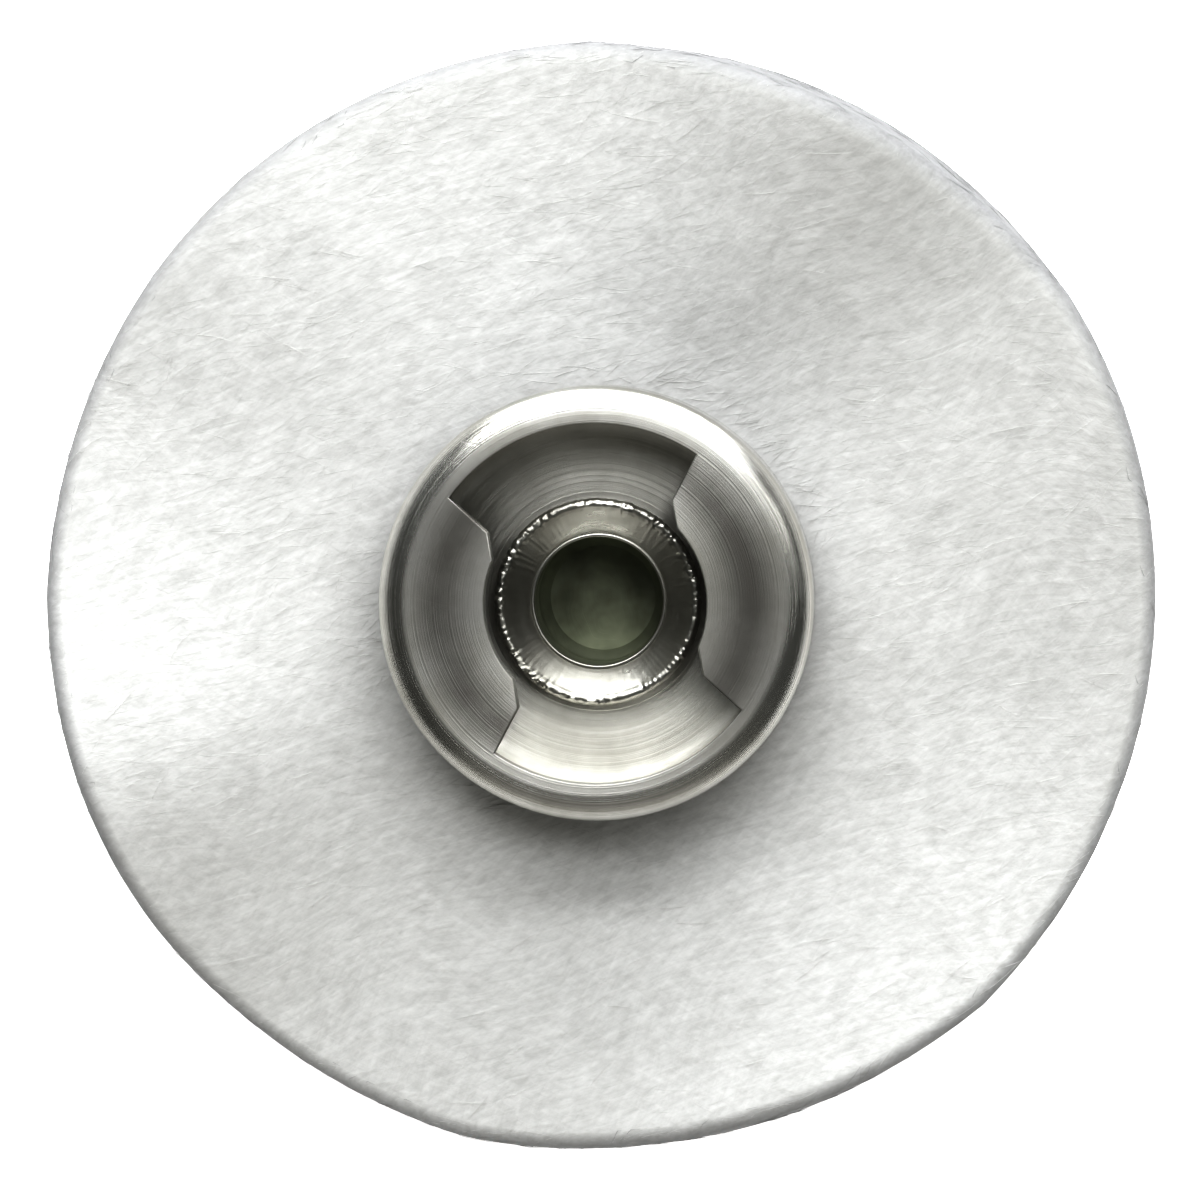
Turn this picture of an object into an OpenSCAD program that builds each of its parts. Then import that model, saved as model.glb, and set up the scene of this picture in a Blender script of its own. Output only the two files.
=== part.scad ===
// Felt polishing wheel on a riveted quick-change hub.
// The wheel's axis is +Z, the mounting side faces up, and the wheel lies on its working side.

/* [Felt] */
// Outer diameter of the felt disc
felt_d = 25.4; // [22:0.1:32]
// Thickness of the felt where nothing presses on it
felt_t = 3.2; // [2.8:0.1:4]
// Thickness of the felt between the hub and the backing washer
clamped_t = 1.9; // [1.5:0.1:2.1]
// Rounding of the felt's two outer edges
felt_edge_r = 0.4; // [0.2:0.05:0.8]
// How strongly the felt is warped, 0 for a flat disc
warp = 1; // [0:0.1:1.2]

/* [Hub cap] */
// Outer diameter of the cap
cap_d = 9.8; // [9.4:0.1:10.4]
// Height of the cap above the felt
cap_h = 2.4; // [2.2:0.1:2.8]
// Thickness of the cap's sheet
sheet_t = 0.55; // [0.45:0.05:0.6]
// Outside radius of the cap's rounded shoulder
shoulder_r = 0.5; // [0.4:0.05:0.7]
// Thickness of the lip that is rolled in under the seat
lip_t = 0.3; // [0.2:0.05:0.35]

/* [Bow-tie opening] */
// Radius of the opening's two round ends
slot_r = 4.05; // [3.9:0.05:4.1]
// Width of the opening's straight neck
neck_w = 4.2; // [4:0.1:4.4]
// Distance from the axis at which the neck starts to widen
widen_at = 2; // [1.8:0.1:2.4]
// Angle between the widening edges and the long axis
widen_angle = 38; // [30:1:42]
// Diameter of the round clearance at the centre
clearance_d = 5; // [4.9:0.1:5.4]

/* [Hub seat] */
// Thickness of the seat's floor
floor_t = 0.6; // [0.5:0.05:0.7]
// Fillet between the seat's floor and its wall
floor_fillet = 0.35; // [0.2:0.05:0.4]

/* [Rivet] */
// Diameter of the rivet's shank
shank_d = 3.8; // [3.6:0.1:4]
// Diameter of the blind bore in the shank
bore_d = 2.9; // [2.6:0.1:3]
// Depth of the bore below the seat's floor
bore_depth = 2.1; // [1.8:0.1:2.2]
// Outer diameter of the flared end
flare_d = 4.7; // [4.5:0.1:4.8]
// Height of the flared end above the seat's floor
flare_h = 0.55; // [0.45:0.05:0.6]
// Diameter of the rivet's head
head_d = 6; // [5:0.2:7]
// Height of the rivet's head
head_h = 0.6; // [0.4:0.05:0.7]

/* [Backing washer] */
// Outer diameter of the washer
washer_d = 8.8; // [8:0.2:9.6]
// Thickness of the washer
washer_t = 0.4; // [0.3:0.05:0.5]

/* [Hidden] */
$fn = 96;
eps = 0.01;

// Radii of the felt's clamped middle, of its pressed dimple and of its hole
felt_r = felt_d / 2;
grip_r = 5.2;
dimple_r = 6.8;
hole_clearance = 0.05;
felt_hole_r = shank_d / 2 + hole_clearance;

// The warp's swells and hollows: direction in degrees, rise at the rim in mm, half spread in degrees
swells = [[55, 1.3, 18], [100, -0.7, 30], [150, -0.7, 20], [190, 0.9, 16], [225, -0.8, 20], [280, 1.1, 28], [335, -1.2, 35]];
// How the warp grows from the hub's grip to the rim: 1 for a straight slope, more for an upturned one
warp_curve = 1.25;

cap_r = cap_d / 2;
seat_r = cap_r - sheet_t;
lip_r = 3.65;
seat_wall_r = slot_r + 0.05;
bend_r = 0.2;
plate_z = cap_h - sheet_t;

shank_r = shank_d / 2;
bore_r = bore_d / 2;
bore_end_r = 1.2;
bore_cone_h = 0.3;
flare_rim_r = 0.15;
head_z = -clamped_t - washer_t;
head_edge_h = 0.25;

// The felt's section in radius and height, run out over the top, round the rim and back underneath
round_steps = 4;
top_line = [for (r = [felt_hole_r, grip_r, 6.2, 7.4, 8.6, 9.8, 11]) [r, 0]];
top_edge = [for (i = [0:round_steps])
    let (a = 90 * (1 - i / round_steps))
    [felt_r - felt_edge_r * (1 - cos(a)), felt_edge_r * (sin(a) - 1)]];
bottom_edge = [for (i = [0:round_steps])
    let (a = -90 * i / round_steps)
    [felt_r - felt_edge_r * (1 - cos(a)), felt_edge_r * (1 + sin(a)) - felt_t]];
bottom_line = [for (r = [11, 9.8, 8.6, 7.4]) [r, -felt_t]];
dimple_line = [for (i = [0:4])
    let (f = i / 4)
    [dimple_r - f * (dimple_r - washer_d / 2 - 0.1), dimple_height(f)]];
section = concat(top_line, top_edge, bottom_edge, bottom_line, dimple_line, [[felt_hole_r, -clamped_t]]);

// A smooth step from the felt's full thickness, at f = 0, to its clamped thickness, at f = 1
function dimple_height(f) = -felt_t + (felt_t - clamped_t) * f * f * (3 - 2 * f);

// How far the warp lifts the felt at a radius and a direction: nothing where the hub grips it
function turn_between(a, b) = abs((a - b + 540) % 360 - 180);
function rise(a) = sum_of([for (s = swells) s[1] * exp(-pow(turn_between(a, s[0]) / s[2], 2))]);
function reach(r) = max(0, (r - grip_r) / (felt_r - grip_r));
function lift(r, a) = warp * pow(reach(r), warp_curve) * rise(a);
function sum_of(v, i = 0) = i < len(v) ? v[i] + sum_of(v, i + 1) : 0;

// The felt's skin: the section repeated round the axis, with the warp added
spokes = 60;
felt_points = [for (j = [0:spokes - 1], p = section)
    let (a = j * 360 / spokes)
    [p[0] * cos(a), p[0] * sin(a), p[1] + lift(p[0], a)]];
ring = len(section);
function skin_point(i, j) = (j % spokes) * ring + i % ring;
felt_faces = [for (j = [0:spokes - 1], i = [0:ring - 1], half = [0, 1])
    half == 0
        ? [skin_point(i, j), skin_point(i, j + 1), skin_point(i + 1, j)]
        : [skin_point(i + 1, j), skin_point(i, j + 1), skin_point(i + 1, j + 1)]];

// Height of the felt's clamped top face above the surface that the felt lies on
hub_z = -min([for (p = felt_points) p[2]]);

module felt_disc() {
    color("whitesmoke")
        translate([0, 0, hub_z])
            polyhedron(points = felt_points, faces = felt_faces, convexity = 6);
}

// A flat washer that spreads the rivet's load over the working side
module backing_washer() {
    edge_r = washer_t / 2;
    color("silver")
        translate([0, 0, hub_z - clamped_t - washer_t])
            rotate_extrude()
                difference() {
                    union() {
                        translate([0, edge_r]) square([washer_d / 2, washer_t - edge_r]);
                        square([washer_d / 2 - edge_r, washer_t]);
                        translate([washer_d / 2 - edge_r, edge_r]) circle(edge_r);
                    }
                    translate([-eps, -eps]) square([shank_r + eps, washer_t + 2 * eps]);
                }
}

// A semi-tubular rivet: low round head below, blind bore and flared end above
module rivet() {
    color("lightsteelblue")
        translate([0, 0, hub_z])
            difference() {
                union() {
                    translate([0, 0, head_z - head_edge_h])
                        cylinder(h = floor_t - head_z + head_edge_h, r = shank_r);
                    rivet_head();
                    rivet_flare();
                }
                rivet_bore();
            }
}

// The shank's end, opened out into a cone with a rounded rim
module rivet_flare() {
    rim_r = flare_d / 2 - flare_rim_r;
    rim_z = floor_t + flare_h - flare_rim_r;
    rotate_extrude()
        polygon([
            [bore_r, floor_t],
            [rim_r - flare_rim_r * cos(45), rim_z + flare_rim_r * sin(45)],
            [rim_r + flare_rim_r, rim_z],
            [shank_r, floor_t],
            [bore_r, floor_t / 2]
        ]);
    rotate_extrude()
        translate([rim_r, rim_z]) circle(flare_rim_r);
}

module rivet_head() {
    head_r = head_d / 2;
    dome_h = head_h - head_edge_h;
    dome_r = (head_r * head_r + dome_h * dome_h) / (2 * dome_h);
    translate([0, 0, head_z - head_h])
        intersection() {
            translate([0, 0, dome_r]) sphere(dome_r);
            cylinder(h = head_h, r = head_r);
        }
}

module rivet_bore() {
    bore_floor = floor_t - bore_depth;
    translate([0, 0, bore_floor + bore_cone_h])
        cylinder(h = bore_depth - bore_cone_h + eps, r = bore_r);
    translate([0, 0, bore_floor])
        cylinder(h = bore_cone_h + eps, r1 = bore_end_r, r2 = bore_r);
}

// A turned dish: the mandrel's bow-tie tip turns and bears in it, and the cap is rolled in under its edge
module hub_seat() {
    color("gainsboro")
        translate([0, 0, hub_z])
            rotate_extrude()
                difference() {
                    union() {
                        translate([0, lip_t]) square([seat_r, plate_z - lip_t]);
                        square([lip_r, floor_t]);
                    }
                    seat_hollow();
                    translate([-eps, -eps]) square([shank_r + eps, floor_t + 2 * eps]);
                    translate([seat_r - bend_r, plate_z - bend_r]) corner_cut(bend_r);
                }
}

module seat_hollow() {
    hollow_h = plate_z - floor_t + eps;
    translate([-eps, floor_t]) square([seat_wall_r - floor_fillet + eps, hollow_h]);
    translate([-eps, floor_t + floor_fillet]) square([seat_wall_r + eps, hollow_h - floor_fillet]);
    translate([seat_wall_r - floor_fillet, floor_t + floor_fillet]) circle(floor_fillet);
}

// What is cut off a square corner to round it by r
module corner_cut(r) {
    difference() {
        square([r + eps, r + eps]);
        circle(r);
    }
}

// The cap: sheet steel drawn over the seat, with the bow-tie opening through its face
module hub_cap() {
    color("silver")
        translate([0, 0, hub_z])
            difference() {
                rotate_extrude() cap_section();
                translate([0, 0, plate_z - eps])
                    linear_extrude(sheet_t + 2 * eps)
                        bow_tie();
            }
}

module cap_section() {
    difference() {
        union() {
            square([cap_r - shoulder_r, cap_h]);
            square([cap_r, cap_h - shoulder_r]);
            translate([cap_r - shoulder_r, cap_h - shoulder_r]) circle(shoulder_r);
        }
        translate([-eps, lip_t]) square([seat_r - bend_r + eps, plate_z - lip_t]);
        translate([-eps, lip_t]) square([seat_r + eps, plate_z - bend_r - lip_t]);
        translate([seat_r - bend_r, plate_z - bend_r]) circle(bend_r);
        translate([-eps, -eps]) square([lip_r + eps, lip_t + 2 * eps]);
        translate([-2 * cap_r, -eps]) square([2 * cap_r, cap_h + 2 * eps]);
    }
}

// The opening's outline: a round clearance, a straight neck and two widening ends, long axis on Y
module bow_tie() {
    half_w = neck_w / 2;
    end_half_w = half_w + (slot_r - widen_at) * tan(widen_angle);
    circle(clearance_d / 2);
    intersection() {
        circle(slot_r);
        union() {
            translate([-half_w, -slot_r]) square([neck_w, 2 * slot_r]);
            for (side = [0, 180])
                rotate(side)
                    polygon([
                        [-half_w, widen_at],
                        [half_w, widen_at],
                        [end_half_w, slot_r],
                        [-end_half_w, slot_r]
                    ]);
        }
    }
}

felt_disc();
backing_washer();
rivet();
hub_seat();
hub_cap();
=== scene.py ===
import math
import random

import bmesh
import bpy
from mathutils import Matrix, Vector, noise


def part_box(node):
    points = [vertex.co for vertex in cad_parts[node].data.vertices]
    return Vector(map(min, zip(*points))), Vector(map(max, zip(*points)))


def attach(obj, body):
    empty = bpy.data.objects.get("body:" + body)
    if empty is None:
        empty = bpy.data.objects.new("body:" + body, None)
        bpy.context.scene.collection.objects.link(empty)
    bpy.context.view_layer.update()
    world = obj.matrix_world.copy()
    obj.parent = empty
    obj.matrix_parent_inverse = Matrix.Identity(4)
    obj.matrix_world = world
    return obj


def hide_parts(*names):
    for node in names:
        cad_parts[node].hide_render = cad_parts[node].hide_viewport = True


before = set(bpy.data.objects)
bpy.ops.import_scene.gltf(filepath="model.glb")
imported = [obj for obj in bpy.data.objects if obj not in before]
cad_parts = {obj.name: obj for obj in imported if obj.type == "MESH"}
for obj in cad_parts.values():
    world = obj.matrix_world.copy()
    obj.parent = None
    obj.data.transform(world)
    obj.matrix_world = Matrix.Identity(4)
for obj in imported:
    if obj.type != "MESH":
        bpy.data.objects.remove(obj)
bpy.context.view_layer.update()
MM = 0.001


# --- Felt disc ---------------------------------------------------------------------------------
# The working part: white wool, felted hard and cut out as a disc. It came off the press and out of
# its packet warped, so its rim swells up in three places and hangs down between them. The hub grips
# its middle, which is squeezed thin between the cap and the backing washer.

felt_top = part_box("hub_cap")[0].z
felt_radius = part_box("felt_disc")[1].x
washer_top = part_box("backing_washer")[1].z
washer_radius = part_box("backing_washer")[1].x
cap_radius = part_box("hub_cap")[1].x
felt_thickness = 3.2 * MM
felt_edge = 0.4 * MM
felt_hole = 1.95 * MM
grip_radius = 5.2 * MM
dimple_radius = 6.8 * MM

# Each swell or hollow of the warp: direction in degrees, rise at the rim in mm and half spread in
# degrees, the same as in the CAD
warp_swells = [
    (55, 1.3, 18),
    (100, -0.7, 30),
    (150, -0.7, 20),
    (190, 0.9, 16),
    (225, -0.8, 20),
    (280, 1.1, 28),
    (335, -1.2, 35),
]
warp_curve = 1.25
lean_turns = (-0.4, -0.2, 0, 0.2, 0.4)
lump_size = 1.9 * MM
lump_height = 0.03 * MM
pebble_size = 0.55 * MM
pebble_height = 0.007 * MM


def warp(x, y):
    """How far the felt is lifted by its warp at a place on the disc."""
    reach = max(0.0, (math.hypot(x, y) - grip_radius) / (felt_radius - grip_radius))
    here = math.degrees(math.atan2(y, x))
    rise = 0.0
    for direction, height, spread in warp_swells:
        turn = abs((here - direction + 540) % 360 - 180)
        rise += height * math.exp(-((turn / spread) ** 2))
    return rise * reach**warp_curve * MM


def warped(x, y, z):
    """A point of the flat felt moved to its place in the warped felt, whose rim leans with its slope.

    The slope is smoothed over a few directions, so that the rim's outline stays even.
    """
    r = math.hypot(x, y)
    lean = 0.0
    if r > grip_radius + 0.1 * MM:
        for turn in lean_turns:
            turned_x = x * math.cos(turn) - y * math.sin(turn)
            turned_y = x * math.sin(turn) + y * math.cos(turn)
            lean += warp(turned_x, turned_y) / len(lean_turns)
        lean *= warp_curve / (felt_radius - grip_radius)
    pivot = felt_top - felt_thickness if lean > 0 else felt_top
    out = 1 - lean * (z - pivot) / max(r, MM)
    return x * out, y * out, z + warp(x, y)


def lumps(x, y, z):
    """The uneven density of pressed wool: broad soft lumps and a finer pebbling."""
    broad = noise.noise(Vector((x, y, z)) / lump_size)
    fine = noise.noise(Vector((x + 0.05, y, z)) / pebble_size)
    return lump_height * broad + pebble_height * fine


def arc(centre, radius, start, end, steps):
    """Points round part of a circle in the (radius, height) plane, angles in degrees."""
    points = []
    for i in range(steps + 1):
        a = math.radians(start + (end - start) * i / steps)
        points.append((centre[0] + radius * math.cos(a), centre[1] + radius * math.sin(a)))
    return points


def turned(outline, steps, closed=True):
    """Spins a (radius, height) outline round the wheel's axis into a closed smooth bmesh."""
    bm = bmesh.new()
    verts = [bm.verts.new((r, 0, z)) for r, z in outline]
    edges = [bm.edges.new(pair) for pair in zip(verts, verts[1:])]
    if closed:
        edges.append(bm.edges.new((verts[-1], verts[0])))
    bmesh.ops.spin(
        bm, geom=verts + edges, cent=(0, 0, 0), axis=(0, 0, 1), dvec=(0, 0, 0),
        angle=math.tau, steps=steps, use_merge=True, use_duplicate=False,
    )
    bmesh.ops.remove_doubles(bm, verts=bm.verts, dist=0.0005 * MM)
    bmesh.ops.recalc_face_normals(bm, faces=bm.faces)
    return bm


def finished(bm, name, crease_angle=35):
    """Turns a bmesh into a shaded object at the origin."""
    mesh = bpy.data.meshes.new(name)
    bm.to_mesh(mesh)
    bm.free()
    mesh.shade_smooth()
    mesh.set_sharp_from_angle(angle=math.radians(crease_angle))
    piece = bpy.data.objects.new(name, mesh)
    bpy.context.scene.collection.objects.link(piece)
    return piece


def line(start, end, spacing):
    """Evenly spaced points from start up to but not including end, in the (radius, height) plane."""
    count = max(1, round(math.dist(start, end) / spacing))
    return [
        (start[0] + (end[0] - start[0]) * i / count, start[1] + (end[1] - start[1]) * i / count)
        for i in range(count)
    ]


felt_bottom = felt_top - felt_thickness
rim_in = felt_radius - felt_edge
felt_spacing = 0.16 * MM
middle_spacing = 0.3 * MM
dimple_floor = washer_radius + 0.1 * MM
dimple_steps = 20
dimple = []
for i in range(dimple_steps):
    f = i / dimple_steps
    dimple.append((
        dimple_radius + (dimple_floor - dimple_radius) * f,
        felt_bottom + (washer_top - felt_bottom) * f * f * (3 - 2 * f),
    ))
felt_outline = (
    line((felt_hole, felt_top), (rim_in, felt_top), felt_spacing)
    + arc((rim_in, felt_top - felt_edge), felt_edge, 90, 0, 5)
    + line(
        (felt_radius, felt_top - felt_edge - 0.1 * MM), (felt_radius, felt_bottom + felt_edge), felt_spacing
    )
    + arc((rim_in, felt_bottom + felt_edge), felt_edge, 0, -90, 5)
    + line((rim_in - 0.1 * MM, felt_bottom), (dimple_radius, felt_bottom), felt_spacing)
    + dimple
    + line((dimple_floor, washer_top), (felt_hole, washer_top), middle_spacing)
    + line((felt_hole, washer_top), (felt_hole, felt_top), middle_spacing)
)
felt_mesh = turned(felt_outline, 360)
felt_mesh.normal_update()

# The lumps fade out where the hub and the washer hold the felt and on its cut wall. The layer
# wall_share is 0 on the faces and grows to 1 round the edge; the material paints shade with it.
wall_share = felt_mesh.verts.layers.float.new("wall_share")
freeing_width = 0.8 * MM
wall_calm = 0.7
for v in felt_mesh.verts:
    x, y, z = v.co
    r = math.hypot(x, y)
    v[wall_share] = max(0.0, (r - rim_in) / felt_edge)
    free = min(1.0, max(0.0, (r - cap_radius) / freeing_width))
    if z < felt_bottom + felt_edge:
        free = min(1.0, max(0.0, (r - washer_radius) / freeing_width))
    v.co += v.normal * lumps(x, y, z) * free * (1 - wall_calm * v[wall_share])
    v.co = warped(*v.co)
felt = finished(felt_mesh, "felt", 80)


def shader(name):
    """A new material's node tree, with its Principled BSDF."""
    material = bpy.data.materials.new(name)
    material.use_nodes = True
    tree = material.node_tree
    return material, tree, tree.nodes["Principled BSDF"]


def add(tree, kind, **settings):
    """Adds a node; keyword names are its properties, or its input sockets where it has no such property."""
    node = tree.nodes.new(kind)
    for key, value in settings.items():
        if hasattr(node, key):
            setattr(node, key, value)
        else:
            node.inputs[key.replace("_", " ")].default_value = value
    return node


def group(name, inputs, outputs):
    """A shader node group with the given float or colour sockets, its input node and its output node."""
    tree = bpy.data.node_groups.new(name, "ShaderNodeTree")
    for label, kind, value in inputs:
        socket = tree.interface.new_socket(label, in_out="INPUT", socket_type=kind)
        if value is not None:
            socket.default_value = value
    for label, kind in outputs:
        tree.interface.new_socket(label, in_out="OUTPUT", socket_type=kind)
    return tree, tree.nodes.new("NodeGroupInput"), tree.nodes.new("NodeGroupOutput")


# Combed and matted wool: streaks of fibre laid three ways, the main lay strongest. Each lay is its
# turn from the main one in radians, its scale along and across the fibres, and its weight.
FLOAT, COLOUR = "NodeSocketFloat", "NodeSocketColor"
fibre_lays = ((0.0, 1250, 6800, 0.5), (-0.6, 1500, 7600, 0.27), (0.8, 1700, 7400, 0.23))
wool, wool_in, wool_out = group(
    "wool_lay",
    [("Lay", FLOAT, 0.1), ("Light Wool", COLOUR, (0.925, 0.922, 0.912, 1)),
     ("Shaded Wool", COLOUR, (0.70, 0.697, 0.683, 1))],
    [("Color", COLOUR), ("Height", FLOAT)],
)
place = add(wool, "ShaderNodeTexCoord")
drift = add(wool, "ShaderNodeTexNoise", Scale=130.0, Detail=1.0)
wool.links.new(place.outputs["Object"], drift.inputs["Vector"])
drifting = add(wool, "ShaderNodeMapRange", To_Min=-0.18, To_Max=0.18)
wool.links.new(drift.outputs["Fac"], drifting.inputs["Value"])
local_lay = add(wool, "ShaderNodeMath", operation="ADD")
wool.links.new(wool_in.outputs["Lay"], local_lay.inputs[0])
wool.links.new(drifting.outputs["Result"], local_lay.inputs[1])
strands = []
for turn, along, across, weight in fibre_lays:
    angle = add(wool, "ShaderNodeMath", operation="ADD")
    angle.inputs[1].default_value = turn
    wool.links.new(local_lay.outputs[0], angle.inputs[0])
    turn_to = add(wool, "ShaderNodeVectorRotate", rotation_type="Z_AXIS")
    wool.links.new(place.outputs["Object"], turn_to.inputs["Vector"])
    wool.links.new(angle.outputs[0], turn_to.inputs["Angle"])
    stretch = add(wool, "ShaderNodeMapping")
    stretch.inputs["Scale"].default_value = (along, across, across)
    wool.links.new(turn_to.outputs[0], stretch.inputs["Vector"])
    fibre = add(wool, "ShaderNodeTexNoise", Scale=1.0, Detail=3.0, Roughness=0.6, Distortion=0.6)
    wool.links.new(stretch.outputs[0], fibre.inputs["Vector"])
    share = add(wool, "ShaderNodeMath", operation="MULTIPLY")
    share.inputs[1].default_value = weight
    wool.links.new(fibre.outputs["Fac"], share.inputs[0])
    strands.append(share)
first_two = add(wool, "ShaderNodeMath", operation="ADD")
wool.links.new(strands[0].outputs[0], first_two.inputs[0])
wool.links.new(strands[1].outputs[0], first_two.inputs[1])
all_three = add(wool, "ShaderNodeMath", operation="ADD")
wool.links.new(first_two.outputs[0], all_three.inputs[0])
wool.links.new(strands[2].outputs[0], all_three.inputs[1])
mat_patches = add(wool, "ShaderNodeTexNoise", Scale=2100.0, Detail=4.0, Roughness=0.65)
wool.links.new(place.outputs["Object"], mat_patches.inputs["Vector"])
patch_share = add(wool, "ShaderNodeMath", operation="MULTIPLY_ADD")
patch_share.inputs[1].default_value = 0.35
wool.links.new(mat_patches.outputs["Fac"], patch_share.inputs[0])
wool.links.new(all_three.outputs[0], patch_share.inputs[2])
shade = add(wool, "ShaderNodeMapRange", From_Min=0.45, From_Max=0.85)
wool.links.new(patch_share.outputs[0], shade.inputs["Value"])
tint = add(wool, "ShaderNodeMix", data_type="RGBA")
wool.links.new(shade.outputs["Result"], tint.inputs["Factor"])
wool.links.new(wool_in.outputs["Shaded Wool"], tint.inputs[6])
wool.links.new(wool_in.outputs["Light Wool"], tint.inputs[7])
wool.links.new(tint.outputs[2], wool_out.inputs["Color"])
wool.links.new(all_three.outputs[0], wool_out.inputs["Height"])

felt_material, felt_tree, felt_shader = shader("white_wool_felt")
lay = add(felt_tree, "ShaderNodeGroup")
lay.node_tree = wool
lay.inputs["Lay"].default_value = math.radians(-10)
relief = add(felt_tree, "ShaderNodeBump", Strength=0.7, Distance=0.03 * MM)

# Painted shade: the colour is darkened towards grey round the rounded edge and over the cut wall, following
# wall_share
cut_edge = add(felt_tree, "ShaderNodeAttribute", attribute_name="wall_share")
rim_painted_shade = add(felt_tree, "ShaderNodeMix", data_type="RGBA", blend_type="MULTIPLY")
rim_painted_shade.inputs[7].default_value = (0.49, 0.49, 0.505, 1)
felt_tree.links.new(cut_edge.outputs["Fac"], rim_painted_shade.inputs["Factor"])
felt_tree.links.new(lay.outputs["Color"], rim_painted_shade.inputs[6])
felt_tree.links.new(rim_painted_shade.outputs[2], felt_shader.inputs["Base Color"])
felt_tree.links.new(lay.outputs["Height"], relief.inputs["Height"])
felt_tree.links.new(relief.outputs["Normal"], felt_shader.inputs["Normal"])
felt_shader.inputs["Roughness"].default_value = 0.95
felt_shader.inputs["Specular IOR Level"].default_value = 0.15
felt_shader.inputs["Sheen Weight"].default_value = 0.25
felt_shader.inputs["Sheen Roughness"].default_value = 0.5
felt.data.materials.append(felt_material)

# The loose fibres on the cut wall carry the wall's painted shade: their wool colours are set darker, to
# grey
wall_material, wall_tree, wall_shader = shader("cut_felt_wall_painted_shade")
wall_lay = add(wall_tree, "ShaderNodeGroup")
wall_lay.node_tree = wool
wall_lay.inputs["Lay"].default_value = 0.3
wall_lay.inputs["Light Wool"].default_value = (0.52, 0.52, 0.52, 1)
wall_lay.inputs["Shaded Wool"].default_value = (0.46, 0.46, 0.465, 1)
wall_relief = add(wall_tree, "ShaderNodeBump", Strength=0.4, Distance=0.02 * MM)
wall_tree.links.new(wall_lay.outputs["Color"], wall_shader.inputs["Base Color"])
wall_tree.links.new(wall_lay.outputs["Height"], wall_relief.inputs["Height"])
wall_tree.links.new(wall_relief.outputs["Normal"], wall_shader.inputs["Normal"])
wall_shader.inputs["Roughness"].default_value = 0.95
wall_shader.inputs["Specular IOR Level"].default_value = 0.15
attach(felt, "root")
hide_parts("felt_disc")


# --- Felt nap ----------------------------------------------------------------------------------
# The loose ends of the wool. Most fibres lie nearly flat and combed one way across the faces, the
# cut wall carries shorter ones that run round it, and a few stand off the edges as fuzz.

random.seed(4)
nap_lay = math.radians(10)
fibre_thickness = 0.009 * MM


def face_height(x, y, side):
    """Height of the felt's top (side 1) or working (side -1) face."""
    r = math.hypot(x, y)
    level = felt_top if side > 0 else felt_bottom
    over = max(0.0, r - rim_in)
    drop = felt_edge - math.sqrt(max(0.0, felt_edge**2 - over**2))
    return level + side * (lumps(x, y, level) - drop)


def nap(name, strands, material):
    """Makes one mesh of thin closed threads; each strand is a list of points."""
    curve = bpy.data.curves.new(name, "CURVE")
    curve.dimensions = "3D"
    curve.bevel_depth = fibre_thickness / 2
    curve.bevel_resolution = 0
    curve.use_fill_caps = True
    for strand in strands:
        spline = curve.splines.new("POLY")
        spline.points.add(len(strand) - 1)
        for point, spot in zip(spline.points, strand):
            point.co = (*spot, 1)
        spline.points[0].radius = 0.5
        spline.points[-1].radius = 0.35
    drawn = bpy.data.objects.new(name + "_curve", curve)
    bpy.context.scene.collection.objects.link(drawn)
    bpy.context.view_layer.update()
    mesh = bpy.data.meshes.new_from_object(drawn.evaluated_get(bpy.context.evaluated_depsgraph_get()))
    bpy.data.objects.remove(drawn)
    bpy.data.curves.remove(curve)
    mesh.name = name
    mesh.shade_smooth()
    piece = bpy.data.objects.new(name, mesh)
    bpy.context.scene.collection.objects.link(piece)
    mesh.materials.clear()
    mesh.materials.append(material)
    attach(piece, "root")
    return piece


def face_strands(count, inner, side):
    """Fibres combed across a face, each a shallow bow with its ends in the felt, and a few loose."""
    strands = []
    bow_shape = (0.2, 1.0, 0.9, 0.1)
    for _ in range(count):
        r = math.sqrt(random.uniform(inner**2, (felt_radius - 0.2 * MM) ** 2))
        a = random.uniform(0, math.tau)
        x, y = r * math.cos(a), r * math.sin(a)
        heading = nap_lay + random.gauss(0, 0.35) + random.choice((0, math.pi))
        bend = random.gauss(0, 0.25)
        step = random.uniform(0.14, 0.42) * MM
        bow = random.uniform(-0.005, 0.0005) * MM
        loose = random.random() < 0.02 and r > cap_radius + 2 * MM
        strand = []
        for i, share in enumerate(bow_shape):
            if not inner - 0.1 * MM <= math.hypot(x, y) <= felt_radius - 0.01 * MM:
                break
            rise = bow * share + (0.03 * MM * i if loose else 0)
            strand.append(warped(x, y, face_height(x, y, side) + side * rise))
            x += step * math.cos(heading)
            y += step * math.sin(heading)
            heading += bend / 3
        if len(strand) > 2:
            strands.append(strand)
    return strands


def wall_strands(count):
    """Short fibres on the cut wall that run round it, some with a free end standing off."""
    strands = []
    for _ in range(count):
        a = random.uniform(0, math.tau)
        up = random.uniform(0.05, 0.95) * felt_thickness
        step = random.uniform(0.1, 0.3) * MM
        slope = random.gauss(0, 0.5)
        off = random.uniform(-0.005, 0.001) * MM
        free_end = random.choice((0, 0, 0, 0, 0, 0, 0.03)) * MM
        strand = []
        for i in range(4):
            z = felt_bottom + up
            edge = max(0.0, felt_edge - min(up, felt_thickness - up))
            rounding = felt_edge - math.sqrt(max(0.0, felt_edge**2 - edge**2))
            r = felt_radius - rounding + off + free_end * i / 3
            x, y = r * math.cos(a), r * math.sin(a)
            strand.append(warped(x, y, z))
            a += step * math.cos(slope) / felt_radius
            up = min(felt_thickness, max(0.0, up + step * math.sin(slope)))
        strands.append(strand)
    return strands


nap("felt_nap_top", face_strands(7000, cap_radius + 0.1 * MM, 1), felt_material)
nap("felt_nap_rim", wall_strands(3500), wall_material)
nap("felt_nap_working_side", face_strands(6000, dimple_radius, -1), felt_material)


# --- Backing washer ----------------------------------------------------------------------------
# A small washer stamped from bright sheet steel. The rivet's head pulls it into the felt's
# working side, so that nothing hard stands out past the felt.

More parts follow.
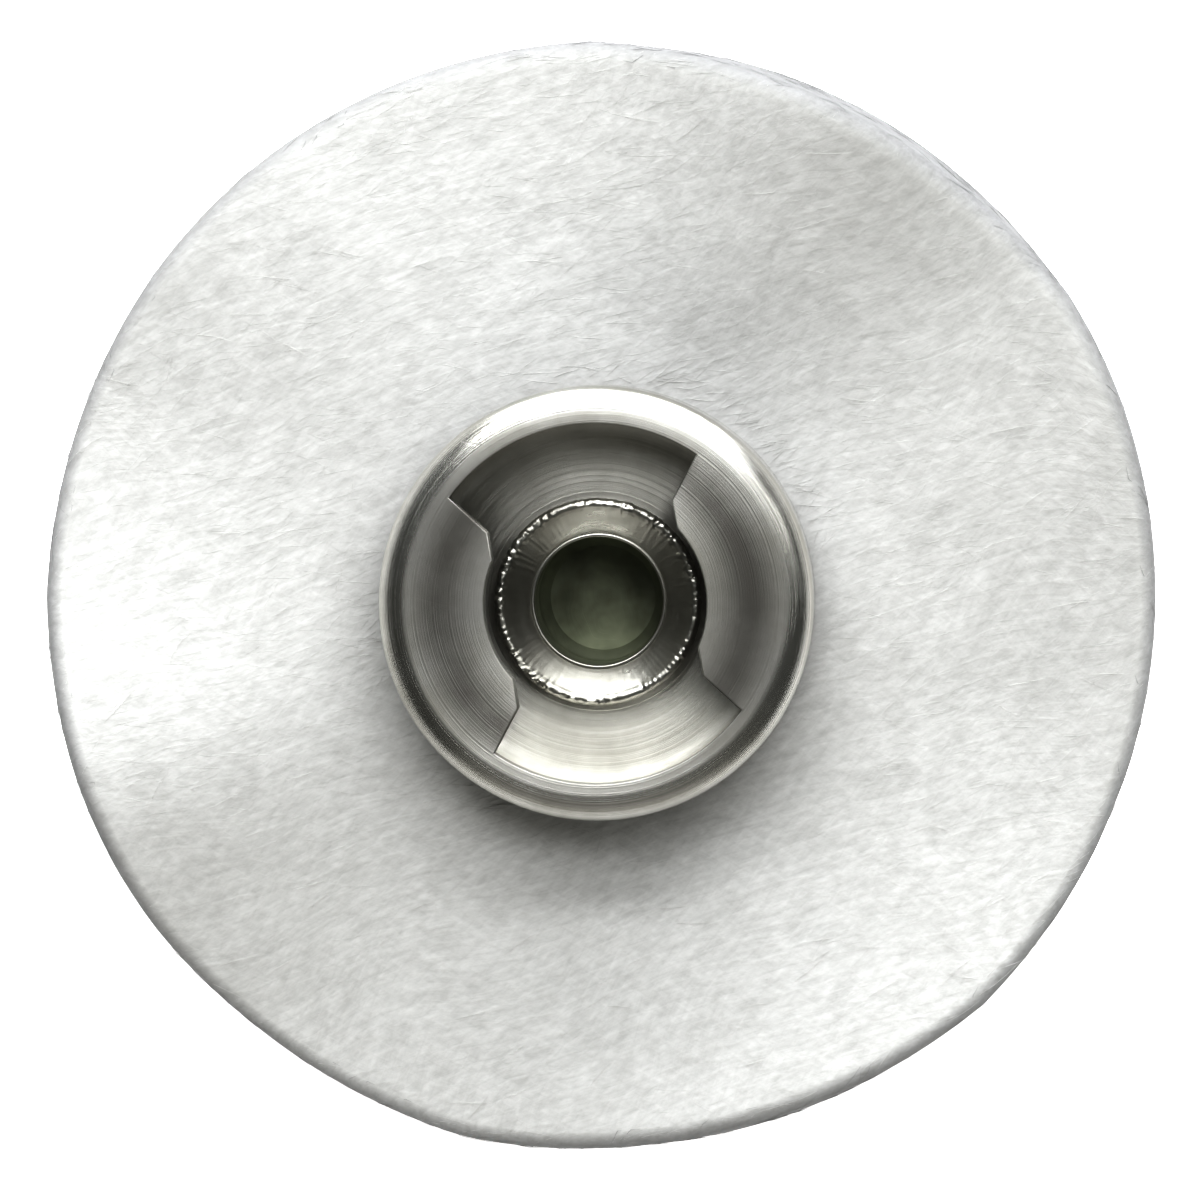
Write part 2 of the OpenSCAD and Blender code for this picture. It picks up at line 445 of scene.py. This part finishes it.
washer_low, washer_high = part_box("backing_washer")
washer_round = 0.18 * MM
washer_burr = 0.05 * MM
washer_hole = 1.9 * MM
washer_outline = (
    [(washer_hole, washer_low.z + washer_burr), (washer_hole + washer_burr, washer_low.z)]
    + arc((washer_high.x - washer_round, washer_low.z + washer_round), washer_round, -90, 0, 6)
    + arc((washer_high.x - washer_burr, washer_high.z - washer_burr), washer_burr, 0, 90, 3)
    + [(washer_hole, washer_high.z)]
)
washer = finished(turned(washer_outline, 160), "washer")

# Marks that tools leave on round metal parts: rings of the lathe or the polishing mop, fine
# scratches across them, dull patches where fingers have been, a polished zone outside one radius,
# and an uneven band of painted dark reflection at another, where the colour is darkened
marks, marks_in, marks_out = group(
    "tool_marks",
    [("Rings", FLOAT, 12000.0), ("Wander", FLOAT, 0.6), ("Scratch", FLOAT, 0.3),
     ("Smooth", FLOAT, 0.2), ("Rough", FLOAT, 0.4), ("Polish From", FLOAT, 1.0), ("Polish To", FLOAT, 1.1),
     ("Polished", FLOAT, 0.2), ("Smudge Radius", FLOAT, 0.0), ("Smudge Spread", FLOAT, 0.00001)],
    [("Height", FLOAT), ("Roughness", FLOAT), ("Patch", FLOAT), ("Painted Dark Reflection", FLOAT)],
)
place = add(marks, "ShaderNodeTexCoord")
flat = add(marks, "ShaderNodeVectorMath", operation="MULTIPLY")
flat.inputs[1].default_value = (1, 1, 0)
marks.links.new(place.outputs["Object"], flat.inputs[0])
radius = add(marks, "ShaderNodeVectorMath", operation="LENGTH")
marks.links.new(flat.outputs[0], radius.inputs[0])
sway = add(marks, "ShaderNodeTexNoise", Scale=420.0, Detail=2.0)
marks.links.new(place.outputs["Object"], sway.inputs["Vector"])
swayed = add(marks, "ShaderNodeMath", operation="MULTIPLY")
marks.links.new(sway.outputs["Fac"], swayed.inputs[0])
marks.links.new(marks_in.outputs["Wander"], swayed.inputs[1])
ring_place = add(marks, "ShaderNodeMath", operation="MULTIPLY_ADD")
marks.links.new(radius.outputs["Value"], ring_place.inputs[0])
marks.links.new(marks_in.outputs["Rings"], ring_place.inputs[1])
marks.links.new(swayed.outputs[0], ring_place.inputs[2])
rings = add(marks, "ShaderNodeTexNoise", noise_dimensions="1D", Scale=1.0, Detail=5.0, Roughness=0.65)
marks.links.new(ring_place.outputs[0], rings.inputs["W"])
scratches = []
for turn in (0.4, 1.5, 2.6):
    turn_to = add(marks, "ShaderNodeVectorRotate", rotation_type="Z_AXIS")
    turn_to.inputs["Angle"].default_value = turn
    marks.links.new(place.outputs["Object"], turn_to.inputs["Vector"])
    stretch = add(marks, "ShaderNodeMapping")
    stretch.inputs["Scale"].default_value = (500, 14000, 500)
    marks.links.new(turn_to.outputs[0], stretch.inputs["Vector"])
    scratch = add(marks, "ShaderNodeTexNoise", Scale=1.0, Detail=1.0)
    marks.links.new(stretch.outputs[0], scratch.inputs["Vector"])
    only_deep = add(marks, "ShaderNodeMapRange", From_Min=0.66, From_Max=0.74)
    marks.links.new(scratch.outputs["Fac"], only_deep.inputs["Value"])
    scratches.append(only_deep)
some = add(marks, "ShaderNodeMath", operation="MAXIMUM")
marks.links.new(scratches[0].outputs[0], some.inputs[0])
marks.links.new(scratches[1].outputs[0], some.inputs[1])
every = add(marks, "ShaderNodeMath", operation="MAXIMUM")
marks.links.new(some.outputs[0], every.inputs[0])
marks.links.new(scratches[2].outputs[0], every.inputs[1])
cut = add(marks, "ShaderNodeMath", operation="MULTIPLY")
marks.links.new(every.outputs[0], cut.inputs[0])
marks.links.new(marks_in.outputs["Scratch"], cut.inputs[1])
height = add(marks, "ShaderNodeMath", operation="SUBTRACT")
marks.links.new(rings.outputs["Fac"], height.inputs[0])
marks.links.new(cut.outputs[0], height.inputs[1])
handled = add(marks, "ShaderNodeTexNoise", Scale=380.0, Detail=4.0, Roughness=0.6)
marks.links.new(place.outputs["Object"], handled.inputs["Vector"])
patch = add(marks, "ShaderNodeMapRange", From_Min=0.38, From_Max=0.66)
marks.links.new(handled.outputs["Fac"], patch.inputs["Value"])
dulled = add(marks, "ShaderNodeMath", operation="MULTIPLY_ADD")
dulled.inputs[1].default_value = 0.5
marks.links.new(rings.outputs["Fac"], dulled.inputs[0])
half_patch = add(marks, "ShaderNodeMath", operation="MULTIPLY")
half_patch.inputs[1].default_value = 0.5
marks.links.new(patch.outputs["Result"], half_patch.inputs[0])
marks.links.new(half_patch.outputs[0], dulled.inputs[2])
roughness = add(marks, "ShaderNodeMapRange")
marks.links.new(dulled.outputs[0], roughness.inputs["Value"])
marks.links.new(marks_in.outputs["Smooth"], roughness.inputs["To Min"])
marks.links.new(marks_in.outputs["Rough"], roughness.inputs["To Max"])
polish = add(marks, "ShaderNodeMapRange", interpolation_type="SMOOTHSTEP")
marks.links.new(radius.outputs["Value"], polish.inputs["Value"])
marks.links.new(marks_in.outputs["Polish From"], polish.inputs["From Min"])
marks.links.new(marks_in.outputs["Polish To"], polish.inputs["From Max"])
polished = add(marks, "ShaderNodeMix", data_type="FLOAT")
marks.links.new(polish.outputs["Result"], polished.inputs["Factor"])
marks.links.new(roughness.outputs["Result"], polished.inputs[2])
marks.links.new(marks_in.outputs["Polished"], polished.inputs[3])
# Painted dark reflection: a band round a given radius, made uneven by the handled noise
off_centre = add(marks, "ShaderNodeMath", operation="SUBTRACT")
marks.links.new(radius.outputs["Value"], off_centre.inputs[0])
marks.links.new(marks_in.outputs["Smudge Radius"], off_centre.inputs[1])
distance = add(marks, "ShaderNodeMath", operation="ABSOLUTE")
marks.links.new(off_centre.outputs[0], distance.inputs[0])
band = add(marks, "ShaderNodeMapRange", interpolation_type="SMOOTHSTEP", To_Min=1.0, To_Max=0.0)
marks.links.new(distance.outputs[0], band.inputs["Value"])
marks.links.new(marks_in.outputs["Smudge Spread"], band.inputs["From Max"])
uneven = add(marks, "ShaderNodeMapRange", From_Min=0.35, From_Max=0.6, To_Min=0.7)
marks.links.new(handled.outputs["Fac"], uneven.inputs["Value"])
painted_dark_reflection = add(marks, "ShaderNodeMath", operation="MULTIPLY")
marks.links.new(band.outputs["Result"], painted_dark_reflection.inputs[0])
marks.links.new(uneven.outputs["Result"], painted_dark_reflection.inputs[1])
marks.links.new(height.outputs[0], marks_out.inputs["Height"])
marks.links.new(painted_dark_reflection.outputs[0], marks_out.inputs["Painted Dark Reflection"])
marks.links.new(polished.outputs[0], marks_out.inputs["Roughness"])
marks.links.new(patch.outputs["Result"], marks_out.inputs["Patch"])


def metal(name, bright, dull, rings, wander, scratch, smooth, rough, depth, brushed, metallic=1.0,
          zones=(), painted_dark_reflection=None):
    """A plated or turned steel finish; depth is the height of its tool marks, brushed its anisotropy.

    zones gives more of the tool marks' values, and the last argument is the colour that the band of painted
    dark reflection is darkened towards.
    """
    material, tree, bsdf = shader(name)
    worn = add(tree, "ShaderNodeGroup")
    worn.node_tree = marks
    values = {"Rings": rings, "Wander": wander, "Scratch": scratch, "Smooth": smooth, "Rough": rough}
    for label, value in (*values.items(), *zones):
        worn.inputs[label].default_value = value
    relief = add(tree, "ShaderNodeBump", Strength=1.0, Distance=depth)
    tree.links.new(worn.outputs["Height"], relief.inputs["Height"])
    tree.links.new(relief.outputs["Normal"], bsdf.inputs["Normal"])
    colour = add(tree, "ShaderNodeMix", data_type="RGBA")
    colour.inputs[6].default_value = (*bright, 1)
    colour.inputs[7].default_value = (*dull, 1)
    tree.links.new(worn.outputs["Patch"], colour.inputs["Factor"])
    # Painted dark reflection: the colour is darkened in the band
    if painted_dark_reflection:
        clean = colour
        colour = add(tree, "ShaderNodeMix", data_type="RGBA")
        colour.inputs[7].default_value = (*painted_dark_reflection, 1)
        tree.links.new(worn.outputs["Painted Dark Reflection"], colour.inputs["Factor"])
        tree.links.new(clean.outputs[2], colour.inputs[6])
    tree.links.new(colour.outputs[2], bsdf.inputs["Base Color"])
    tree.links.new(worn.outputs["Roughness"], bsdf.inputs["Roughness"])
    bsdf.inputs["Metallic"].default_value = metallic
    if brushed:
        bsdf.inputs["Anisotropic"].default_value = brushed
        bsdf.inputs["Anisotropic Rotation"].default_value = 0.25
        round_axis = add(tree, "ShaderNodeTangent", direction_type="RADIAL", axis="Z")
        tree.links.new(round_axis.outputs[0], bsdf.inputs["Tangent"])
    return material


washer.data.materials.append(metal(
    "stamped_washer_steel", bright=(0.62, 0.61, 0.58), dull=(0.5, 0.49, 0.46), rings=4000, wander=6,
    scratch=0.8, smooth=0.25, rough=0.5, depth=0.004 * MM, brushed=0,
))
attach(washer, "root")
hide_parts("backing_washer")


# --- Rivet -------------------------------------------------------------------------------------
# A nickel-plated semi-tubular rivet. Its low head draws the washer up; its hollow end is hammered
# open over the hub's seat, which leaves a cone with a rough, finely split rim.

rivet_low, rivet_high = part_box("rivet")
seat_low, seat_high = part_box("hub_seat")
seat_floor = seat_low.z + 0.6 * MM
shank_radius = 1.9 * MM
bore_radius = 1.45 * MM
bore_end = 1.2 * MM
bore_bottom = seat_floor - 2.1 * MM
bore_cone = 0.3 * MM
flare_radius = 2.35 * MM
rim_round = 0.13 * MM
mouth_bead = 0.05 * MM
head_edge = 0.25 * MM
head_round = 0.08 * MM
head_top = washer_low.z
head_radius = rivet_high.x
dome_height = head_top - head_edge - rivet_low.z
dome_radius = (head_radius**2 + dome_height**2) / (2 * dome_height)
dome_half_angle = math.degrees(math.asin(head_radius / dome_radius))
rim_centre = (flare_radius - rim_round, rivet_high.z - rim_round)
rivet_outline = (
    arc((0, rivet_low.z + dome_radius), dome_radius, -90, -90 + dome_half_angle, 14)
    + arc((head_radius - head_round, head_top - head_round), head_round, 0, 90, 4)
    + [(shank_radius, head_top), (shank_radius, seat_floor)]
    + arc(rim_centre, rim_round, -40, 130, 10)
    + line(
        (flare_radius - 0.24 * MM, rivet_high.z - 0.06 * MM),
        (bore_radius + 2.2 * mouth_bead, seat_floor + mouth_bead), 0.06 * MM,
    )
    + arc((bore_radius + mouth_bead, seat_floor), mouth_bead, 30, 180, 10)
    + line((bore_radius, seat_floor - 0.1 * MM), (bore_radius, bore_bottom + bore_cone), 0.15 * MM)
    + line((bore_radius, bore_bottom + bore_cone), (bore_end, bore_bottom), 0.08 * MM)
    + line((bore_end, bore_bottom), (0, bore_bottom), 0.1 * MM)
    + [(0, bore_bottom)]
)
rivet_outline[0] = (0, rivet_low.z)
rivet_mesh = turned(rivet_outline, 480, closed=False)
rivet_mesh.normal_update()

# The hammer raises beads round the flare's rim, splits it here and there and folds the cone a little
hammered_width = 0.2 * MM
for v in rivet_mesh.verts:
    x, y, z = v.co
    r = math.hypot(x, y)
    a = math.atan2(y, x)
    if z > seat_floor + mouth_bead:
        around = Vector((math.cos(a), math.sin(a), 0))
        near_rim = max(0.0, 1 - abs(r - flare_radius + 0.1 * MM) / hammered_width)
        beads = 0.9 * noise.noise(around * 24 + Vector((0, 0, r / (0.08 * MM))))
        beads += 0.8 * noise.noise(around * 44 + Vector((5, 0, r / (0.06 * MM))))
        splits = max(0.0, noise.noise(around * 20 + Vector((0, 3, 3.7))) - 0.25)
        beads *= max(0.2, 0.9 + 1.6 * noise.noise(around * 3 + Vector((2, 0, 0))))
        folds = noise.noise(around * 26 + Vector((0, 8, r / MM)))
        v.co += v.normal * ((0.028 * beads - 0.09 * splits) * near_rim + 0.003 * folds) * MM
rivet = finished(rivet_mesh, "rivet_flared", 40)
rivet.data.materials.append(metal(
    "hammered_nickel", bright=(0.66, 0.655, 0.62), dull=(0.46, 0.45, 0.41), rings=6000, wander=5,
    scratch=0.1, smooth=0.2, rough=0.5, depth=0.004 * MM, brushed=0,
))
rivet.data.materials.append(metal(
    "unplated_bore", bright=(0.49, 0.51, 0.42), dull=(0.28, 0.29, 0.23), rings=3000, wander=9,
    scratch=0.0, smooth=0.6, rough=0.85, depth=0.01 * MM, brushed=0,
))
for face in rivet.data.polygons:
    in_bore = face.center.xy.length < bore_radius + 0.01 * MM
    if in_bore and bore_bottom - 0.01 * MM < face.center.z < seat_floor - 2 * mouth_bead:
        face.material_index = 1
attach(rivet, "root")
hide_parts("rivet")


# --- Hub seat ----------------------------------------------------------------------------------
# A shallow dish turned from bar. The lathe tool left rings all over its floor. The rivet clamps it
# to the felt, and the mandrel's bow-tie tip turns in it under the cap's lobes.

seat_wall = 4.1 * MM
seat_fillet = 0.35 * MM
seat_foot = 3.65 * MM
seat_step = 0.3 * MM
seat_round = 0.2 * MM
random.seed(11)
floor_rings = []
r = seat_wall - seat_fillet
while r > shank_radius + 0.1 * MM:
    floor_rings.append((r, seat_floor + random.uniform(-0.007, 0.007) * MM))
    r -= random.uniform(0.022, 0.055) * MM
seat_outline = (
    [(shank_radius, seat_low.z), (seat_foot, seat_low.z), (seat_foot, seat_low.z + seat_step)]
    + [(seat_high.x, seat_low.z + seat_step), (seat_high.x, seat_high.z - seat_round)]
    + arc((seat_high.x - seat_round, seat_high.z - seat_round), seat_round, 0, 90, 4)[1:]
    + [(seat_wall, seat_high.z)]
    + line((seat_wall, seat_high.z - 0.05 * MM), (seat_wall, seat_floor + seat_fillet), 0.2 * MM)
    + arc((seat_wall - seat_fillet, seat_floor + seat_fillet), seat_fillet, 0, -90, 10)
    + floor_rings
    + [(shank_radius, seat_floor)]
)
seat = finished(turned(seat_outline, 256), "hub_seat_turned", 50)
seat.data.materials.append(metal(
    "turned_steel", bright=(0.86, 0.85, 0.81), dull=(0.70, 0.69, 0.65), rings=36000, wander=0.9,
    scratch=0.06, smooth=0.32, rough=0.52, depth=0.013 * MM, brushed=0.85,
))
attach(seat, "root")
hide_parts("hub_seat")


# --- Hub cap -----------------------------------------------------------------------------------
# The cap is drawn from sheet steel, pierced with the bow-tie opening, polished on a mop and rolled
# in under the seat. Its two lobes hold the mandrel's tip once that has made its quarter turn.

cap_low, cap_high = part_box("hub_cap")
sheet = 0.55 * MM
shoulder = 0.5 * MM
lip = 0.3 * MM
lip_inner = 3.65 * MM
cap_inner = cap_radius - sheet
bend = 0.2 * MM
plate_under = cap_high.z - sheet
roll_width = 0.66 * MM
face_radius = cap_radius - roll_width
skirt_round = 0.15 * MM
lip_round = 0.05 * MM
rolled = [
    (face_radius + x * roll_width, cap_high.z - shoulder + y * shoulder)
    for x, y in arc((0, 0), 1, 90, 0, 32)[1:]
]
cap_outline = (
    [(face_radius, cap_high.z)]
    + rolled
    + line((cap_radius, cap_high.z - shoulder - 0.2 * MM), (cap_radius, cap_low.z + skirt_round), 0.3 * MM)
    + arc((cap_radius - skirt_round, cap_low.z + skirt_round), skirt_round, 0, -90, 6)
    + [(lip_inner + lip_round, cap_low.z), (lip_inner, cap_low.z + lip_round), (lip_inner, cap_low.z + lip)]
    + [(cap_inner, cap_low.z + lip), (cap_inner, plate_under - bend)]
    + arc((cap_inner - bend, plate_under - bend), bend, 0, 90, 6)[1:]
)
cap_mesh = turned(cap_outline, 256, closed=False)

# The pierced opening: round ends, a straight neck that widens, and a round middle
slot_end = 4.05 * MM
neck = 2.1 * MM
widen_at = 2.0 * MM
widen_angle = math.radians(38)
clearance = 2.5 * MM


def opening(grow, z):
    """The bow-tie outline at a height, grown outwards by some amount, as a closed loop of edges."""
    end, side, middle = slot_end + grow, neck + grow, clearance + grow
    start = widen_at - grow * math.tan(widen_angle / 2)
    slope = math.tan(widen_angle)
    across = side * slope + start
    beyond = side**2 + start**2 - end**2
    run = -across + math.sqrt(across**2 - (1 + slope**2) * beyond)
    run /= 1 + slope**2
    corner_angle = math.degrees(math.atan2(start + run, side + run * slope))
    middle_angle = math.degrees(math.acos(side / middle))
    quarter = arc((0, 0), middle, 0, middle_angle, 30) + [(side, start)]
    quarter += arc((0, 0), end, corner_angle, 90, 26)
    half = quarter + [(-x, y) for x, y in reversed(quarter[:-1])]
    whole = half[:-1] + [(-x, -y) for x, y in half[:-1]]
    verts = [cap_mesh.verts.new((x, y, z)) for x, y in whole]
    return [cap_mesh.edges.new(pair) for pair in zip(verts, verts[1:] + verts[:1])]


# The shear rolls the opening's upper edge over and leaves the lower one nearly sharp
roll_over = 0.04 * MM
burr = 0.015 * MM
loops = []
for i in range(5):
    a = math.radians(90 * i / 4)
    loops.append(opening(roll_over * (1 - math.sin(a)), cap_high.z - roll_over * (1 - math.cos(a))))
loops.append(opening(0, plate_under + burr))
loops.append(opening(burr, plate_under))
for upper, lower in zip(loops, loops[1:]):
    bmesh.ops.bridge_loops(cap_mesh, edges=upper + lower)
upper_face = (cap_high.z, face_radius, loops[0])
lower_face = (plate_under, cap_inner - bend, loops[-1])
for level, radius, loop in (upper_face, lower_face):
    ring = [
        e for e in cap_mesh.edges
        if all(abs(v.co.z - level) < 1e-7 and abs(v.co.xy.length - radius) < 1e-6 for v in e.verts)
    ]
    bmesh.ops.triangle_fill(cap_mesh, use_beauty=True, edges=ring + loop, normal=(0, 0, 1))
bmesh.ops.recalc_face_normals(cap_mesh, faces=cap_mesh.faces)
cap = finished(cap_mesh, "hub_cap_drawn")
# The lobes' colour is darkened in a band round 3.5 mm as a painted dark reflection
cap.data.materials.append(metal(
    "mopped_steel", bright=(0.78, 0.77, 0.74), dull=(0.62, 0.61, 0.57), rings=22000, wander=0.8,
    scratch=0.04, smooth=0.36, rough=0.64, depth=0.011 * MM, brushed=0.5, metallic=0.88,
    zones=(
        ("Polish From", 4.2 * MM), ("Polish To", 4.5 * MM), ("Polished", 0.13),
        ("Smudge Radius", 3.5 * MM), ("Smudge Spread", 0.95 * MM),
    ),
    painted_dark_reflection=(0.30, 0.29, 0.27),
))
for face in cap.data.polygons:
    if abs(face.normal.z) > 0.9999:
        face.use_smooth = False
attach(cap, "root")
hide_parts("hub_cap")


# --- Studio ------------------------------------------------------------------------------------
# A white table that glows, a wide window beyond the wheel in four parts, weaker cards on the near
# side, a faint ceiling and a dim room all round, seen from almost straight above.

table_mesh = bmesh.new()
table_half_width = 0.45
bmesh.ops.create_grid(table_mesh, x_segments=1, y_segments=1, size=table_half_width)
table = finished(table_mesh, "table")
table_material, table_tree, table_shader = shader("white_table")
table_shader.inputs["Base Color"].default_value = (0.92, 0.92, 0.92, 1)
table_shader.inputs["Roughness"].default_value = 0.9
table_shader.inputs["Emission Color"].default_value = (1, 1, 1, 1)
seen_straight = add(table_tree, "ShaderNodeLightPath")
glow = add(table_tree, "ShaderNodeMapRange", To_Min=0.45, To_Max=0.8)
table_tree.links.new(seen_straight.outputs["Is Camera Ray"], glow.inputs["Value"])
table_tree.links.new(glow.outputs["Result"], table_shader.inputs["Emission Strength"])
table.data.materials.append(table_material)

view_up = math.radians(80)
hub_centre = Vector((0, 0, felt_top))


def softbox(name, turn, elevation, distance, width, height, radiance, colour):
    """A rectangular light aimed at the hub; turn is counted from the top of the view, clockwise."""
    lamp = bpy.data.lights.new(name, "AREA")
    lamp.shape = "RECTANGLE"
    lamp.size, lamp.size_y = width, height
    lamp.energy = radiance * math.pi * width * height
    lamp.color = colour
    heading = view_up - math.radians(turn)
    lift = math.radians(elevation)
    level = Vector((math.cos(heading), math.sin(heading), 0))
    direction = level * math.cos(lift) + Vector((0, 0, math.sin(lift)))
    holder = bpy.data.objects.new(name, lamp)
    holder.location = hub_centre + direction * distance
    holder.rotation_euler = direction.to_track_quat("Z", "Y").to_euler()
    bpy.context.scene.collection.objects.link(holder)
    return holder


softbox("window_wall", 2, 34, 1.0, 1.44, 1.3, 0.92, (0.98, 0.99, 1.0))
softbox("window_top", 16, 67, 1.0, 1.38, 0.34, 3.0, (0.98, 0.99, 1.0))
softbox("window", 2, 41, 1.0, 1.38, 0.15, 6.6, (0.98, 0.99, 1.0))
softbox("window_sill", 4, 13, 1.0, 1.44, 0.2, 8.6, (0.98, 0.99, 1.0))
softbox("near_card", 180, 18, 1.0, 1.8, 0.52, 0.55, (1.0, 0.98, 0.94))
softbox("near_fill", 180, 20, 1.0, 1.8, 0.56, 0.8, (1.0, 0.99, 0.94)).visible_glossy = False
softbox("near_wall", 180, 52, 1.0, 1.1, 0.7, 0.24, (1.0, 0.98, 0.93))
softbox("ceiling", 0, 90, 1.0, 0.8, 0.8, 0.2, (1.0, 0.99, 0.96)).visible_glossy = False
bpy.context.scene.cycles.caustics_reflective = False

world = bpy.data.worlds.new("room")
world.use_nodes = True
world.node_tree.nodes["Background"].inputs["Color"].default_value = (0.50, 0.52, 0.46, 1)
world.node_tree.nodes["Background"].inputs["Strength"].default_value = 0.12
bpy.context.scene.world = world
bpy.context.scene.view_settings.view_transform = "Standard"
bpy.context.scene.view_settings.gamma = 0.6

camera_distance = 0.17
view_width = 0.0273
sensor_width = 36
tilt = math.radians(3.5)
tilt_towards = math.radians(30)
camera_data = bpy.data.cameras.new("camera")
camera_data.sensor_width = sensor_width
camera_data.lens = sensor_width * camera_distance / view_width
camera_data.clip_start = 0.01
camera = bpy.data.objects.new("camera", camera_data)
sideways = Vector((math.cos(tilt_towards), math.sin(tilt_towards), 0))
away = sideways * math.sin(tilt) + Vector((0, 0, math.cos(tilt)))
up = Vector((math.cos(view_up), math.sin(view_up), 0))
right = up.cross(away).normalized()
camera.location = hub_centre + away * camera_distance
camera.rotation_euler = Matrix((right, away.cross(right), away)).transposed().to_euler()
bpy.context.scene.collection.objects.link(camera)
bpy.context.scene.camera = camera
